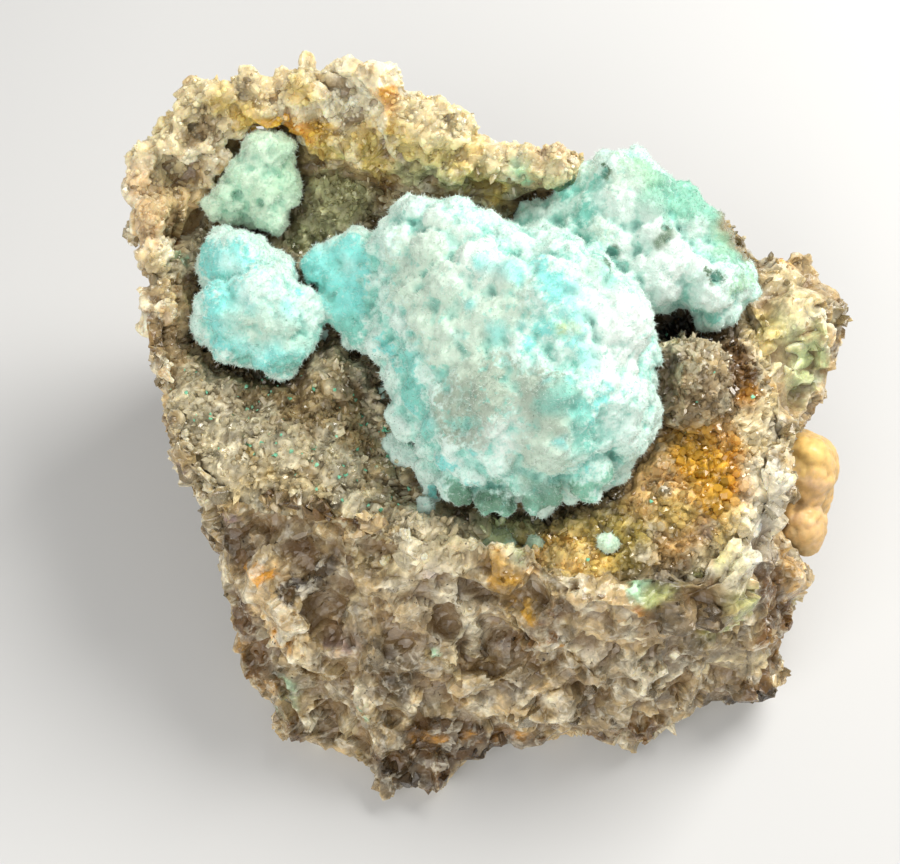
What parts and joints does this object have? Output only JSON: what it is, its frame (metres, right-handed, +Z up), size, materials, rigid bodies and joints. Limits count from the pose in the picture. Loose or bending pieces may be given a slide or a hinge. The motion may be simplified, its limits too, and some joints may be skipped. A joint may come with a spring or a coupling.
{
  "type": "aurichalcite specimen",
  "caption": "Block of drusy vein quartz with an open pocket that holds a rounded blue-green aurichalcite ball and smaller clusters, resting on a flat base.",
  "frame": {"origin": "on the surface the specimen stands on, under the middle of its bounding box", "axes": "+X along the longest side, to the right when facing the broken front face; +Y away from that face; +Z up, out of the flat base"},
  "size_m": [0.0826, 0.0712, 0.0494],
  "materials": {
    "vein_quartz": "rough, granular, partly translucent",
    "drusy_quartz": "sparkling small crystals",
    "aurichalcite": "velvety, silky needles",
    "green_aurichalcite": "velvety, silky needles",
    "iron_brown_crust": "rounded, finely rough"
  },
  "bodies": {
    "root": {"matrix": "vein_quartz", "pocket_druse": "drusy_quartz", "aurichalcite_mass": "aurichalcite", "aurichalcite_left": "aurichalcite", "aurichalcite_green": "green_aurichalcite", "aurichalcite_nodule_left": "aurichalcite", "aurichalcite_nodule_front": "green_aurichalcite", "aurichalcite_nodule_middle": "green_aurichalcite", "aurichalcite_nodule_right": "green_aurichalcite", "brown_knobs": "iron_brown_crust"}
  },
  "joints": []
}
